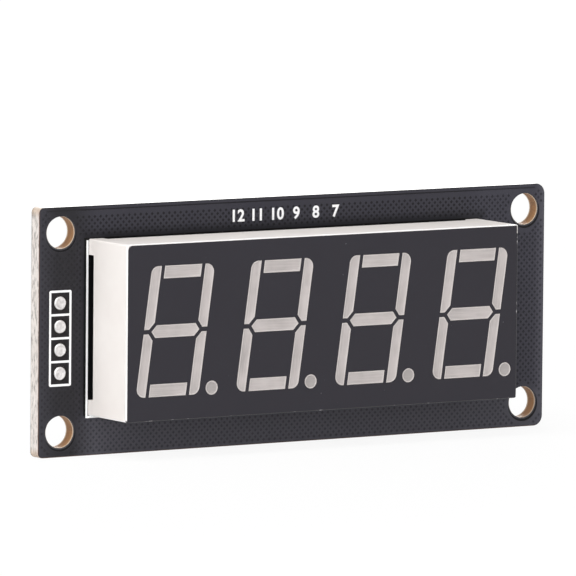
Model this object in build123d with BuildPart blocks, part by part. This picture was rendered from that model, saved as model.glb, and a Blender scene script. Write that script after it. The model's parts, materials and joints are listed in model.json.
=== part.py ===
from build123d import *
from math import hypot, radians, tan
from typing import NamedTuple
import os

# A four-digit seven-segment display soldered to its driver board.
# X runs along the board and Z up it. Levels run from the laminate's back face towards
# the viewer, along -Y, and the origin is the middle of the mounting holes on that face.

# Board
board_length = 65.6
board_height = 27.1
board_pad_end_radius = 0.6
board_far_end_radius = 1.15
laminate_thickness = 1.52
mask_thickness = 0.04
mask_clearance = 0.05
mount_end_inset = 2.7
mount_side_inset = 2.75
mount_hole_diameter = 3.5
mount_hole_mask_margin = 0.17

# Four solder-filled pads in line with the left mounting holes
pad_count = 4
pad_pitch = 2.54
pad_row_drop = 0.65
pad_hole_diameter = 1.0
pad_land_diameter = 1.56
pad_dome_height = 0.28
pad_back_dome_height = 0.35
solder_edge = 0.06

# Printed white lines
ink_thickness = 0.03
ink_line_width = 0.24
outline_end_gap = 0.2
outline_bottom_gap = 0.14
outline_top_inset = 0.15
pad_grid_corner_radius = 0.2

# Display housing, measured from the board's front
display_offset_x = -1.27
display_offset_z = 0.37
housing_length = 50.5
housing_height = 19.2
housing_depth = 8.0
housing_wall = 1.0
housing_corner_radius = 0.2
housing_rim_radius = 0.15
foot_height = 1.0
foot_length = 1.72
reflector_depth = 4.6
face_film_thickness = 0.1
face_film_margin = 0.1
face_film_right_margin = 0.22
face_film_corner_radius = 0.55

# Digits
digit_count = 4
digit_pitch = 12.7
digit_height = 14.2
digit_width = 8.05
digit_slant = 8
digit_shift = -0.1
digit_rise = 0.1
upright_width = 1.3
upright_tip_width = 0.68
upright_tip_rise = 0.75
upright_corner_radius = 0.95
bar_height = 1.44
segment_gap = 0.35
middle_gap = 0.43
point_diameter = 1.6
point_offset_x = 4.65
point_offset_z = -6.43
well_floor_share = 0.5

# Inside the display
die_size = 0.3
die_height = 0.2
carrier_thickness = 1.0
carrier_clearance = 0.1
potting_set_back = 0.2

# Display pins and their solder
pins_per_row = 6
pin_pitch = 2.54
pin_row_inset = 1.98
pin_diameter = 0.5
pin_hole_diameter = 0.9
pin_land_diameter = 1.7
pin_tail = 1.3
pin_fillet_height = 0.9
pin_front_fillet_height = 0.4

# Driver chip on the back, a wide small-outline package
chip_pin_gap = 1.0
chip_length = 12.8
chip_width = 7.5
chip_upper_height = 1.15
chip_lower_height = 1.0
chip_stand_off = 0.15
chip_draft = 7
chip_mark_diameter = 1.0
chip_mark_depth = 0.1
chip_mark_inset = 1.3
leads_per_side = 10
lead_pitch = 1.27
lead_width = 0.4
lead_thickness = 0.25
lead_span = 10.3
lead_foot_length = 0.85
lead_shoulder_length = 0.45
lead_bend_radius = 0.2
land_thickness = 0.06
chip_land_length = 1.7
chip_land_width = 0.6

# Chip capacitors and resistors on the back, in upright rows set off from the pads
passive_length = 1.6
passive_width = 0.8
passive_end_length = 0.35
passive_end_skin = 0.02
capacitor_height = 0.8
resistor_height = 0.45
passive_land_length = 0.9
passive_land_width = 0.95
passive_land_gap = 0.7
capacitor_row_offset = 13.1
capacitor_row_pitch = 3.4
capacitor_count = 3
resistor_row_offset = 7.6
resistor_row_pitch = 2.6
resistor_count = 2

cut_overrun = 1.0

# Levels
mask_front_level = laminate_thickness + mask_thickness
face_level = mask_front_level + housing_depth
housing_front_level = face_level - face_film_thickness
wall_back_level = mask_front_level + foot_height
reflector_floor_level = housing_front_level - reflector_depth
carrier_back_level = reflector_floor_level - carrier_thickness
potting_back_level = wall_back_level + potting_set_back

# Sizes that follow from those above
mount_spacing_length = board_length - 2 * mount_end_inset
mount_spacing_height = board_height - 2 * mount_side_inset
display_outline_length = housing_length + 2 * outline_end_gap
display_outline_bottom = housing_height / 2 + outline_bottom_gap
display_outline_top = housing_height / 2 - outline_top_inset
pin_row_spacing = housing_height - 2 * pin_row_inset
pin_row_length = (pins_per_row - 1) * pin_pitch + pin_land_diameter
chip_offset_x = display_offset_x + pin_row_length / 2 + chip_pin_gap + chip_length / 2
chip_offset_z = display_offset_z
recess_length = housing_length - 2 * housing_wall
recess_height = housing_height - 2 * housing_wall
display_centre = (display_offset_x, display_offset_z)
digit_offset_x = display_offset_x + digit_shift
digit_offset_z = display_offset_z + digit_rise
film_length = housing_length - face_film_margin - face_film_right_margin
film_height = housing_height - 2 * face_film_margin
film_offset_x = display_offset_x + (face_film_margin - face_film_right_margin) / 2
board_top_left = (-board_length / 2, board_height / 2)
chip_centre = (chip_offset_x, chip_offset_z)
lead_level = -(mask_thickness + chip_stand_off + chip_lower_height)
passive_pad_offset = (passive_land_gap + passive_land_length) / 2


def row(count, pitch):
    """Evenly spaced places about zero."""
    return [(index - (count - 1) / 2) * pitch for index in range(count)]


pin_places = [
    (display_offset_x + x, display_offset_z + side * pin_row_spacing / 2)
    for side in (-1, 1)
    for x in row(pins_per_row, pin_pitch)
]
pad_row_x = -mount_spacing_length / 2
pad_places = [(pad_row_x, z - pad_row_drop) for z in row(pad_count, pad_pitch)]
capacitor_row_x = pad_row_x + capacitor_row_offset
capacitor_places = [(capacitor_row_x, z) for z in row(capacitor_count, capacitor_row_pitch)]
resistor_row_x = pad_row_x + resistor_row_offset
resistor_places = [(resistor_row_x, z) for z in row(resistor_count, resistor_row_pitch)]
passive_places = capacitor_places + resistor_places
passive_land_places = [
    (x + side * passive_pad_offset, z) for x, z in passive_places for side in (-1, 1)
]
chip_land_places = [
    (chip_offset_x + x, chip_offset_z + side * (lead_span - lead_foot_length) / 2)
    for side in (-1, 1)
    for x in row(leads_per_side, lead_pitch)
]


def save(built, name):
    """Labels a finished piece and writes it as its own file."""
    built.part.label = name
    export_step(built.part, f"parts/{name}.step")


def on_axes(places):
    """Turns places on the board into points on its back face."""
    return [(x, 0, z) for x, z in places]


os.makedirs("parts", exist_ok=True)



def round_board_corners(outline):
    """Rounds the corners of the board's outline, which are tighter at the pads' end."""
    fillet(outline.vertices().group_by(Axis.X)[0], board_pad_end_radius)
    fillet(outline.vertices().group_by(Axis.X)[-1], board_far_end_radius)


# Laminate of the driver board
with BuildPart() as circuit_board:
    with BuildSketch(Plane.XZ) as board_outline:
        Rectangle(board_length, board_height)
        round_board_corners(board_outline)
        with GridLocations(mount_spacing_length, mount_spacing_height, 2, 2):
            Circle(mount_hole_diameter / 2, mode=Mode.SUBTRACT)
        with Locations(*pin_places):
            Circle(pin_hole_diameter / 2, mode=Mode.SUBTRACT)
        with Locations(*pad_places):
            Circle(pad_hole_diameter / 2, mode=Mode.SUBTRACT)
    extrude(amount=laminate_thickness)
save(circuit_board, "circuit_board")


def mask_sketch(level):
    """The solder mask's outline on one face, open at every hole and round land."""
    with BuildSketch(Plane.XZ.offset(level)) as mask:
        Rectangle(board_length, board_height)
        round_board_corners(mask)
        with GridLocations(mount_spacing_length, mount_spacing_height, 2, 2):
            Circle(mount_hole_diameter / 2 + mount_hole_mask_margin, mode=Mode.SUBTRACT)
        with Locations(*pin_places):
            Circle(pin_land_diameter / 2 + mask_clearance, mode=Mode.SUBTRACT)
        with Locations(*pad_places):
            Circle(pad_land_diameter / 2 + mask_clearance, mode=Mode.SUBTRACT)
    return mask.sketch


with BuildPart() as front_solder_mask:
    extrude(mask_sketch(laminate_thickness), amount=mask_thickness)
save(front_solder_mask, "front_solder_mask")

with BuildPart() as back_solder_mask:
    extrude(mask_sketch(0), amount=-mask_thickness)
    with BuildSketch(Plane.XZ):
        with Locations(*chip_land_places):
            Rectangle(chip_land_width + 2 * mask_clearance, chip_land_length + 2 * mask_clearance)
        with Locations(*passive_land_places):
            Rectangle(
                passive_land_length + 2 * mask_clearance, passive_land_width + 2 * mask_clearance
            )
    extrude(amount=-mask_thickness, mode=Mode.SUBTRACT)
save(back_solder_mask, "back_solder_mask")

# White grid round the pads, and the outline that frames the display's foot on three sides
with BuildPart() as silkscreen_lines:
    with BuildSketch(Plane.XZ.offset(mask_front_level)):
        with Locations((pad_row_x, -pad_row_drop)):
            RectangleRounded(
                pad_pitch + ink_line_width,
                pad_count * pad_pitch + ink_line_width,
                pad_grid_corner_radius,
            )
        with Locations(*pad_places):
            Rectangle(pad_pitch - ink_line_width, pad_pitch - ink_line_width, mode=Mode.SUBTRACT)
        with Locations((display_offset_x, display_offset_z - display_outline_bottom)):
            Rectangle(display_outline_length + ink_line_width, ink_line_width)
        for side in (-1, 1):
            with Locations(
                (display_offset_x + side * display_outline_length / 2,
                 display_offset_z - display_outline_bottom)
            ):
                Rectangle(
                    ink_line_width,
                    display_outline_bottom + display_outline_top,
                    align=(Align.CENTER, Align.MIN),
                )
    extrude(amount=ink_thickness)
save(silkscreen_lines, "silkscreen_lines")


def upright(side, end):
    """A digit's upright segment, from its rounded outer corner, before the slant."""
    outer = side * digit_width / 2
    inner = outer - side * upright_width
    tip = outer - side * upright_tip_width
    far = end * digit_height / 2
    near = end * middle_gap / 2
    shoulder = near + end * upright_tip_rise
    return [(outer, far), (inner, far), (inner, shoulder), (tip, near), (outer, near)]


def end_bar(end):
    """The bar at a digit's top or bottom, between the uprights."""
    half = digit_width / 2 - upright_width - segment_gap
    far = end * digit_height / 2
    near = far - end * bar_height
    return [(-half, far), (half, far), (half, near), (-half, near)]


def middle_bar():
    """The pointed bar, whose ends lie one gap inside the uprights' chamfered tips."""
    slope = (upright_width - upright_tip_width) / upright_tip_rise
    gap_along_bar = segment_gap * hypot(1, slope)
    point = digit_width / 2 - upright_tip_width + slope * middle_gap / 2 - gap_along_bar
    flat = point - slope * bar_height / 2
    top = bar_height / 2
    return [(-flat, top), (flat, top), (point, 0), (flat, -top), (-flat, -top), (-point, 0)]


# Each segment's points before the slant, with the radius of its first corner
segment_outlines = {
    "a": (end_bar(1), 0),
    "b": (upright(1, 1), upright_corner_radius),
    "c": (upright(1, -1), upright_corner_radius),
    "d": (end_bar(-1), 0),
    "e": (upright(-1, -1), upright_corner_radius),
    "f": (upright(-1, 1), upright_corner_radius),
    "g": (middle_bar(), 0),
}


def slanted(points, digit_x):
    """A digit's points leant over and set on the face."""
    lean = tan(radians(digit_slant))
    return [(digit_x + x + z * lean, digit_offset_z + z) for x, z in points]


def middle_of(points):
    """The middle of the box round some points."""
    across = [x for x, z in points]
    up = [z for x, z in points]
    return ((min(across) + max(across)) / 2, (min(up) + max(up)) / 2)


def segment_sketch(points, corner_radius, level, share):
    """A segment's outline on one level, shrunk about its middle to a share of its size."""
    middle_x, middle_z = middle_of(points)
    drawn = [(middle_x + (x - middle_x) * share, middle_z + (z - middle_z) * share) for x, z in points]
    with BuildSketch(Plane.XZ.offset(level)) as outline:
        with BuildLine():
            Polyline(*drawn, close=True)
        make_face()
        if corner_radius:
            fillet(outline.vertices().sort_by_distance(drawn[0])[0], corner_radius * share)
    return outline.sketch


def point_sketch(centre, level, share):
    """A decimal point's outline on one level."""
    with BuildSketch(Plane.XZ.offset(level)) as outline:
        with Locations(centre):
            Circle(point_diameter / 2 * share)
    return outline.sketch


class Light(NamedTuple):
    """One segment or decimal point: its tapered well, its plug in the film and its middle."""

    name: str
    well: Part
    plug: Part
    middle: tuple


def make_light(name, window, floor, middle):
    """The space behind one window, down to its floor, and through the film in front."""
    with BuildPart() as well:
        loft(sections=[floor.face(), window.face()], ruled=True)
    with BuildPart() as plug:
        extrude(window, amount=face_film_thickness)
    return Light(name, well.part, plug.part, middle)


lights = []
for digit, digit_place in enumerate(row(digit_count, digit_pitch), start=1):
    digit_x = digit_offset_x + digit_place
    for letter, (points, corner_radius) in segment_outlines.items():
        leant = slanted(points, digit_x)
        window = segment_sketch(leant, corner_radius, housing_front_level, 1)
        floor = segment_sketch(leant, corner_radius, reflector_floor_level, well_floor_share)
        lights.append(make_light(f"digit_{digit}_segment_{letter}", window, floor, middle_of(leant)))
    centre = (digit_x + point_offset_x, digit_offset_z + point_offset_z)
    window = point_sketch(centre, housing_front_level, 1)
    floor = point_sketch(centre, reflector_floor_level, well_floor_share)
    lights.append(make_light(f"digit_{digit}_decimal_point", window, floor, centre))

# White reflector housing on four corner feet, with a light well behind every window
with BuildPart() as reflector_housing:
    with BuildSketch(Plane.XZ.offset(mask_front_level)):
        with Locations(display_centre):
            RectangleRounded(housing_length, housing_height, housing_corner_radius)
    extrude(amount=housing_front_level - mask_front_level)
    fillet(reflector_housing.faces().sort_by(Axis.Y)[0].edges(), housing_rim_radius)
    with BuildSketch(Plane.XZ.offset(mask_front_level)):
        with Locations(display_centre):
            Rectangle(recess_length, recess_height)
    extrude(amount=reflector_floor_level - mask_front_level, mode=Mode.SUBTRACT)
    with BuildSketch(Plane.XZ.offset(mask_front_level)):
        with Locations(display_centre):
            Rectangle(housing_length - 2 * foot_length, housing_height + 2 * cut_overrun)
            Rectangle(housing_length + 2 * cut_overrun, housing_height - 2 * foot_length)
    extrude(amount=foot_height, mode=Mode.SUBTRACT)
    add([light.well for light in lights], mode=Mode.SUBTRACT)
save(reflector_housing, "reflector_housing")

# Black film on the housing's front, open at the windows
with BuildPart() as face_film:
    with BuildSketch(Plane.XZ.offset(housing_front_level)) as film_outline:
        with Locations((film_offset_x, display_offset_z)):
            Rectangle(film_length, film_height)
        fillet(film_outline.vertices().sort_by_distance(board_top_left)[0], face_film_corner_radius)
    extrude(amount=face_film_thickness)
    add([light.plug for light in lights], mode=Mode.SUBTRACT)
save(face_film, "face_film")

# Resin cast in each well, flush with the film, around its die
for light in lights:
    with BuildPart() as casting:
        add([light.well, light.plug])
        with BuildSketch(Plane.XZ.offset(reflector_floor_level)):
            with Locations(light.middle):
                Rectangle(die_size, die_size)
        extrude(amount=die_height, mode=Mode.SUBTRACT)
    save(casting, light.name)

with BuildPart() as led_dice:
    with BuildSketch(Plane.XZ.offset(reflector_floor_level)):
        with Locations(*[light.middle for light in lights]):
            Rectangle(die_size, die_size)
    extrude(amount=die_height)
save(led_dice, "led_dice")

# Board inside the display that carries the dice, and the resin poured behind it
with BuildPart() as carrier_board:
    with BuildSketch(Plane.XZ.offset(carrier_back_level)):
        with Locations(display_centre):
            Rectangle(recess_length - 2 * carrier_clearance, recess_height - 2 * carrier_clearance)
        with Locations(*pin_places):
            Circle(pin_diameter / 2, mode=Mode.SUBTRACT)
    extrude(amount=carrier_thickness)
save(carrier_board, "carrier_board")

with BuildPart() as back_potting:
    with BuildSketch(Plane.XZ.offset(potting_back_level)):
        with Locations(display_centre):
            Rectangle(recess_length, recess_height)
        with Locations(*pin_places):
            Circle(pin_diameter / 2, mode=Mode.SUBTRACT)
    extrude(amount=carrier_back_level - potting_back_level)
save(back_potting, "back_potting")

with BuildPart() as display_pins:
    with BuildSketch(Plane.XZ.offset(-pin_tail)):
        with Locations(*pin_places):
            Circle(pin_diameter / 2)
    extrude(amount=reflector_floor_level + pin_tail)
save(display_pins, "display_pins")


# Solder through a pin's hole, with a tall hollow fillet at the back and a low one in front
with BuildPart() as pin_joint:
    with BuildSketch(Plane.XY):
        with BuildLine():
            pin_radius = pin_diameter / 2
            land_radius = pin_land_diameter / 2
            front = -laminate_thickness
            front_tip = front - pin_front_fillet_height
            front_edge = front - solder_edge
            TangentArc((pin_radius, pin_fillet_height), (land_radius, solder_edge), tangent=(0, -1))
            Polyline(
                (land_radius, solder_edge),
                (land_radius, 0),
                (pin_hole_diameter / 2, 0),
                (pin_hole_diameter / 2, front),
                (land_radius, front),
                (land_radius, front_edge),
            )
            TangentArc((land_radius, front_edge), (pin_radius, front_tip), tangent=(-1, 0))
            Line((pin_radius, front_tip), (pin_radius, pin_fillet_height))
        make_face()
    revolve(axis=Axis.Y)

with BuildPart() as display_pin_solder:
    with Locations(*on_axes(pin_places)):
        add(pin_joint.part)
save(display_pin_solder, "display_pin_solder")

# Solder plug that fills a pad's hole, domed on both faces
with BuildPart() as pad_plug:
    with BuildSketch(Plane.XY):
        with BuildLine():
            pad_radius = pad_land_diameter / 2
            front = -laminate_thickness
            front_crown = front - pad_dome_height
            front_edge = front - solder_edge
            Line((0, pad_back_dome_height), (0, front_crown))
            TangentArc((0, front_crown), (pad_radius, front_edge), tangent=(1, 0))
            Polyline(
                (pad_radius, front_edge),
                (pad_radius, front),
                (pad_hole_diameter / 2, front),
                (pad_hole_diameter / 2, 0),
                (pad_radius, 0),
                (pad_radius, solder_edge),
            )
            TangentArc((0, pad_back_dome_height), (pad_radius, solder_edge), tangent=(1, 0))
        make_face()
    revolve(axis=Axis.Y)

with BuildPart() as pad_solder:
    with Locations(*on_axes(pad_places)):
        add(pad_plug.part)
save(pad_solder, "pad_solder")

# Tinned lands under the parts on the back
with BuildPart() as solder_lands:
    with BuildSketch(Plane.XZ):
        with Locations(*chip_land_places):
            Rectangle(chip_land_width, chip_land_length)
        with Locations(*passive_land_places):
            Rectangle(passive_land_length, passive_land_width)
    extrude(amount=-land_thickness)
save(solder_lands, "solder_lands")


def chip_section(level):
    """The drafted chip body's outline on one level, widest where the leads leave it."""
    draft = abs(level - lead_level) * tan(radians(chip_draft))
    with BuildSketch(Plane.XZ.offset(level)) as section:
        with Locations(chip_centre):
            Rectangle(chip_length - 2 * draft, chip_width - 2 * draft)
    return section.sketch.face()


with BuildPart() as driver_chip:
    chip_levels = (lead_level - chip_upper_height, lead_level, lead_level + chip_lower_height)
    loft(sections=[chip_section(level) for level in chip_levels], ruled=True)
    with BuildSketch(Plane.XZ.offset(lead_level - chip_upper_height)):
        with Locations(
            (chip_offset_x + chip_length / 2 - chip_mark_inset,
             chip_offset_z - chip_width / 2 + chip_mark_inset)
        ):
            Circle(chip_mark_diameter / 2)
    extrude(amount=chip_mark_depth, mode=Mode.SUBTRACT)
save(driver_chip, "driver_chip")

# One gull-wing lead on the chip's upper side, drawn along its middle line
lead_mid_level = -(land_thickness + lead_thickness / 2)
lead_toe = chip_offset_z + lead_span / 2
lead_heel = lead_toe - lead_foot_length
lead_root = chip_offset_z + chip_width / 2
with BuildPart() as chip_lead:
    with BuildSketch(Plane.YZ):
        with BuildLine():
            FilletPolyline(
                (-lead_level, lead_root),
                (-lead_level, lead_root + lead_shoulder_length),
                (-lead_mid_level, lead_heel),
                (-lead_mid_level, lead_toe),
                radius=lead_bend_radius,
            )
        trace(line_width=lead_thickness)
    extrude(amount=lead_width / 2, both=True)

with BuildPart() as driver_chip_leads:
    with Locations(*[(chip_offset_x + x, 0, 0) for x in row(leads_per_side, lead_pitch)]):
        add(chip_lead.part)
    mirror(about=Plane.XY.offset(chip_offset_z))
save(driver_chip_leads, "driver_chip_leads")


def passive_pieces(places, height, name):
    """Writes the bodies and the metal ends of chip parts of one height."""
    with BuildPart() as bodies:
        with BuildSketch(Plane.XZ.offset(-land_thickness - passive_end_skin)):
            with Locations(*places):
                Rectangle(
                    passive_length - 2 * passive_end_length, passive_width - 2 * passive_end_skin
                )
        extrude(amount=-(height - 2 * passive_end_skin))
    save(bodies, f"{name}_bodies")
    end_offset = (passive_length - passive_end_length) / 2
    with BuildPart() as ends:
        with BuildSketch(Plane.XZ.offset(-land_thickness)):
            with Locations(*[(x + side * end_offset, z) for x, z in places for side in (-1, 1)]):
                Rectangle(passive_end_length, passive_width)
        extrude(amount=-height)
    save(ends, f"{name}_ends")


passive_pieces(capacitor_places, capacitor_height, "capacitor")
passive_pieces(resistor_places, resistor_height, "resistor")
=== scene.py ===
import json
import logging
import math
from dataclasses import dataclass
from enum import Enum
from functools import cache
from typing import Any, Optional

import bmesh
import bpy
from mathutils import Matrix, Quaternion, Vector


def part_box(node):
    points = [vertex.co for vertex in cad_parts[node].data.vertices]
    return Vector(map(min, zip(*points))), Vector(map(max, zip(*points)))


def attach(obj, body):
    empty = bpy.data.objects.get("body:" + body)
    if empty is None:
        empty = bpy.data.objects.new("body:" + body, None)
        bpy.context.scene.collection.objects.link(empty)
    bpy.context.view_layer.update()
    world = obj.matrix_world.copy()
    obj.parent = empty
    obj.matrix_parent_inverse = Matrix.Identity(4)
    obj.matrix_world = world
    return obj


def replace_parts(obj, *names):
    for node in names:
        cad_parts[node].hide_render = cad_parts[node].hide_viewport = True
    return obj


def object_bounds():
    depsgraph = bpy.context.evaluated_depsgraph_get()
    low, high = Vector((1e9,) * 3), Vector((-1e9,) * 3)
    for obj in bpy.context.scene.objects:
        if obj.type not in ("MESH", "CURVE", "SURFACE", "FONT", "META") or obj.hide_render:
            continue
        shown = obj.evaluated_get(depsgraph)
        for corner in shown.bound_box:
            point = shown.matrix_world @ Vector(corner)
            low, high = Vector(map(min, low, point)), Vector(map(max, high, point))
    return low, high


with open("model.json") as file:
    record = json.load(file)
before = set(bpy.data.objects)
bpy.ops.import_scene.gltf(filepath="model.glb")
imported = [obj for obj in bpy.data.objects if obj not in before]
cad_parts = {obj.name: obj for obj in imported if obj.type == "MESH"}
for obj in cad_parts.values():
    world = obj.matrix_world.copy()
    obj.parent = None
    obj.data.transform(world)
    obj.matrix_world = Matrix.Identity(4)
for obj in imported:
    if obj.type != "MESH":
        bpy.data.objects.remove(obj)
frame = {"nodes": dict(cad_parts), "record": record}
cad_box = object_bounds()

# A four-digit seven-segment display on its driver board, dressed around the CAD solids.
# Sizes are in millimetres until a mesh is made; +Z is up and -Y is towards the viewer.

log = logging.getLogger("display")
MM = 0.001
BODY = "root"

Point = tuple[float, float]
Loop = list[Point]
Span = tuple[float, float]


def linear(code: str) -> tuple[float, float, float, float]:
    """Turns an sRGB hex colour into linear light.

    Args:
        code: a hash and six hex digits.

    Returns:
        Red, green, blue and alpha for a shader's socket.
    """
    parts = [int(code[index:index + 2], 16) / 255 for index in (1, 3, 5)]
    red, green, blue = (c / 12.92 if c <= 0.04045 else ((c + 0.055) / 1.055) ** 2.4 for c in parts)
    return red, green, blue, 1.0


def add(
    tree: bpy.types.NodeTree, kind: str, inputs: Optional[dict[Any, Any]] = None, **settings: Any
) -> bpy.types.Node:
    """Adds a node, sets its properties, and fills or links its inputs.

    Args:
        tree: the shader or geometry tree.
        kind: the node's type.
        inputs: a value or another node's output for each input, by name or number.
        **settings: the node's own properties.

    Returns:
        The new node.
    """
    node = tree.nodes.new(kind)
    for name, value in settings.items():
        setattr(node, name, value)
    for key, value in (inputs or {}).items():
        socket = node.inputs[key]
        for one in value if isinstance(value, list) else [value]:
            if isinstance(one, bpy.types.NodeSocket):
                tree.links.new(one, socket)
            else:
                socket.default_value = one
    return node


@dataclass(frozen=True)
class Extent:
    """A CAD node's box in millimetres; front is the side that faces the viewer."""

    left: float
    right: float
    front: float
    back: float
    low: float
    high: float

    @classmethod
    def of(cls, node: str) -> "Extent":
        """Reads a node's box from the frame."""
        low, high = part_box(node)
        return cls(low.x / MM, high.x / MM, low.y / MM, high.y / MM, low.z / MM, high.z / MM)


BOARD = Extent.of("front_solder_mask")
HOUSING = Extent.of("reflector_housing")
PADS = Extent.of("pad_solder")
BACK_BOARD = Extent.of("back_solder_mask")
HOLE_DIMS = next(m for m in frame["record"]["mounts"] if m["name"] == "mounting_holes")["dims"]
HOLE_X, HOLE_Z = HOLE_DIMS["spacing_x_mm"] / 2, HOLE_DIMS["spacing_y_mm"] / 2
HOLES = [(x, z) for x in (-HOLE_X, HOLE_X) for z in (-HOLE_Z, HOLE_Z)]
# The copper's clearance round each hole, which sits a little low; a painted shade darkens the mask there
RING_RADIUS = 1.95
RING_SHIFT_X, RING_SHIFT_Z = 0.05, -0.2
RINGS = [(x + RING_SHIFT_X, z + RING_SHIFT_Z) for x, z in HOLES]
# The copper's clearance beside and above the display, and along the board's rim
BARE_LEFT, BARE_HIGH = HOUSING.left - 0.62, HOUSING.high + 0.12
EDGE_INSET = 0.08


# Finishes

Coat = tuple[bpy.types.NodeSocket, Any]


@dataclass(frozen=True)
class Finish:
    """A surface: a colour that drifts in soft blotches, coats laid over it, a fine grain, and a gloss."""

    name: str
    colour: str
    blotch: str
    roughness: float
    metallic: float = 0.0
    specular: float = 0.5
    blotch_mm: float = 2.0
    blotch_span: Span = (0.3, 0.7)
    grain_mm: float = 0.15
    grain_depth_mm: float = 0.002
    uneven_gloss: float = 0.06

    @cache
    def material(self) -> bpy.types.Material:
        """Makes the finish's material once.

        Returns:
            The material, with its shader painted.
        """
        made = bpy.data.materials.new(self.name)
        made.use_nodes = True
        tree = made.node_tree
        shader = tree.nodes["Principled BSDF"]
        shader.inputs["Metallic"].default_value = self.metallic
        shader.inputs["Specular IOR Level"].default_value = self.specular
        where = add(tree, "ShaderNodeTexCoord").outputs["Object"]
        place = add(
            tree, "ShaderNodeVectorMath", {0: where, 1: (1 / MM,) * 3}, operation="MULTIPLY"
        ).outputs[0]
        drift = add(
            tree, "ShaderNodeTexNoise", {"Vector": place, "Scale": 1 / self.blotch_mm, "Detail": 4.0}
        ).outputs[0]
        start, end = self.blotch_span
        blotched = add(tree, "ShaderNodeMapRange", {0: drift, 1: start, 2: end}).outputs[0]
        tone = linear(self.colour)
        for share, colour in [(blotched, self.blotch), *self.coats(tree, place)]:
            over = linear(colour) if isinstance(colour, str) else colour
            tone = add(tree, "ShaderNodeMix", {0: share, 6: tone, 7: over}, data_type="RGBA").outputs[2]
        grain = add(
            tree,
            "ShaderNodeTexNoise",
            {"Vector": place, "Scale": 1 / self.grain_mm, "Detail": 3.0, "Roughness": 0.6},
        ).outputs[0]
        gloss = add(
            tree,
            "ShaderNodeMapRange",
            {0: grain, 3: self.roughness - self.uneven_gloss, 4: self.roughness + self.uneven_gloss},
        ).outputs[0]
        bump = add(
            tree,
            "ShaderNodeBump",
            {"Height": grain, "Strength": 1.0, "Distance": self.grain_depth_mm * MM},
        ).outputs[0]
        for output, name in ((tone, "Base Color"), (gloss, "Roughness"), (bump, "Normal")):
            tree.links.new(output, shader.inputs[name])
        return made

    def coats(self, tree: bpy.types.NodeTree, place: bpy.types.NodeSocket) -> list[Coat]:
        """The coats over the drifting colour, of which a plain finish has none."""
        return []


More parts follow.
